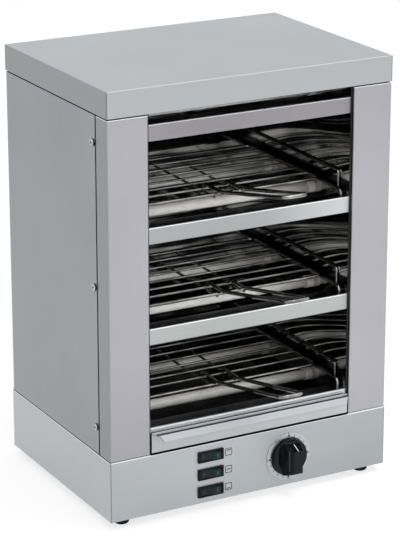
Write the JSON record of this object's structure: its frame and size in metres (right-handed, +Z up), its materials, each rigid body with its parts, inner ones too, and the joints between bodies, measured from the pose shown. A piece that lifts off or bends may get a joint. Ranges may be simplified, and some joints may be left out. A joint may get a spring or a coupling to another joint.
{
  "type": "commercial toaster",
  "caption": "Stainless steel countertop toaster with stacked open decks, quartz heating tubes, sliding wire racks with handles, a crumb tray, rocker switches and a timer knob.",
  "frame": {"origin": "middle of the overall box, on the surface the rubber feet stand on", "axes": "+X to the right seen from the front, +Y to the back, +Z up; the open side and the controls face -Y"},
  "size_m": [0.3644, 0.3772, 0.505],
  "materials": {
    "satin_stainless": "satin brushed",
    "polished_stainless": "mirror polished",
    "bright_wire": "bright plated",
    "zinc_plated_steel": "zinc plated",
    "heating_wire": "oxidised resistance alloy",
    "quartz": "milky quartz",
    "ceramic": "unglazed ceramic",
    "dial_aluminium": "satin, printed",
    "black_gloss_plastic": "semi-gloss",
    "black_plastic": "matt",
    "dark_green_plastic": "translucent dark green, gloss",
    "white_plastic": "matt",
    "rubber_black": "matt"
  },
  "bodies": {
    "cabinet": {"back_panel": "satin_stainless", "base_deck": "polished_stainless", "base_shell": "satin_stainless", "bottom_plate": "satin_stainless", "case_screws": "zinc_plated_steel", "cord_gland": "black_plastic", "crossbar_lower": "satin_stainless", "crossbar_top": "satin_stainless", "crossbar_upper": "satin_stainless", "dial_plate": "dial_aluminium", "end_caps_bottom": "ceramic", "end_caps_lower": "ceramic", "end_caps_top": "ceramic", "end_caps_upper": "ceramic", "feet": "rubber_black", "front_pillar_left": "satin_stainless", "front_pillar_right": "satin_stainless", "front_sill": "satin_stainless", "heating_coils_bottom": "heating_wire", "heating_coils_lower": "heating_wire", "heating_coils_top": "heating_wire", "heating_coils_upper": "heating_wire", "liner_back": "polished_stainless", "liner_left": "polished_stainless", "liner_right": "polished_stainless", "quartz_tube_bottom_front": "quartz", "quartz_tube_bottom_rear": "quartz", "quartz_tube_lower_front": "quartz", "quartz_tube_lower_rear": "quartz", "quartz_tube_top_front": "quartz", "quartz_tube_top_rear": "quartz", "quartz_tube_upper_front": "quartz", "quartz_tube_upper_rear": "quartz", "rack_guide_bottom_left": "bright_wire", "rack_guide_bottom_right": "bright_wire", "rack_guide_middle_left": "bright_wire", "rack_guide_middle_right": "bright_wire", "rack_guide_top_left": "bright_wire", "rack_guide_top_right": "bright_wire", "side_panel_left": "satin_stainless", "side_panel_right": "satin_stainless", "switch_body_bottom": "black_plastic", "switch_body_middle": "black_plastic", "switch_body_top": "black_plastic", "terminal_block": "white_plastic", "timer_body": "zinc_plated_steel", "top_cover": "satin_stainless", "top_reflector": "polished_stainless"},
    "top_rack": {"rack_top": "bright_wire", "rack_handle_top": "bright_wire"},
    "middle_rack": {"rack_middle": "bright_wire", "rack_handle_middle": "bright_wire"},
    "bottom_rack": {"rack_bottom": "bright_wire", "rack_handle_bottom": "bright_wire"},
    "tray": {"crumb_tray": "satin_stainless"},
    "timer_dial_knob": {"timer_knob": "black_gloss_plastic", "timer_shaft": "zinc_plated_steel"},
    "switch_rocker_top": {"rocker_top": "dark_green_plastic"},
    "switch_rocker_middle": {"rocker_middle": "dark_green_plastic"},
    "switch_rocker_bottom": {"rocker_bottom": "dark_green_plastic"}
  },
  "joints": [
    {"name": "top_rack_slide", "type": "slide", "parent": "cabinet", "child": "top_rack", "axis": [0, -1, 0], "range_m": [0, 0.19]},
    {"name": "middle_rack_slide", "type": "slide", "parent": "cabinet", "child": "middle_rack", "axis": [0, -1, 0], "range_m": [0, 0.19]},
    {"name": "bottom_rack_slide", "type": "slide", "parent": "cabinet", "child": "bottom_rack", "axis": [0, -1, 0], "range_m": [0, 0.19]},
    {"name": "crumb_tray_slide", "type": "slide", "parent": "cabinet", "child": "tray", "axis": [0, -1, 0], "range_m": [0, 0.235]},
    {"name": "timer_turn", "type": "hinge", "parent": "cabinet", "child": "timer_dial_knob", "pos_m": [0.0492, -0.08538, 0.045], "axis": [0, 1, 0], "range_deg": [0, 270]},
    {"name": "top_switch_rock", "type": "hinge", "parent": "cabinet", "child": "switch_rocker_top", "pos_m": [-0.0535, -0.08178, 0.0663], "axis": [0, 0, 1], "range_deg": [0, 18]},
    {"name": "middle_switch_rock", "type": "hinge", "parent": "cabinet", "child": "switch_rocker_middle", "pos_m": [-0.0535, -0.08178, 0.045], "axis": [0, 0, 1], "range_deg": [0, 18]},
    {"name": "bottom_switch_rock", "type": "hinge", "parent": "cabinet", "child": "switch_rocker_bottom", "pos_m": [-0.0535, -0.08178, 0.0237], "axis": [0, 0, 1], "range_deg": [0, 18]}
  ]
}
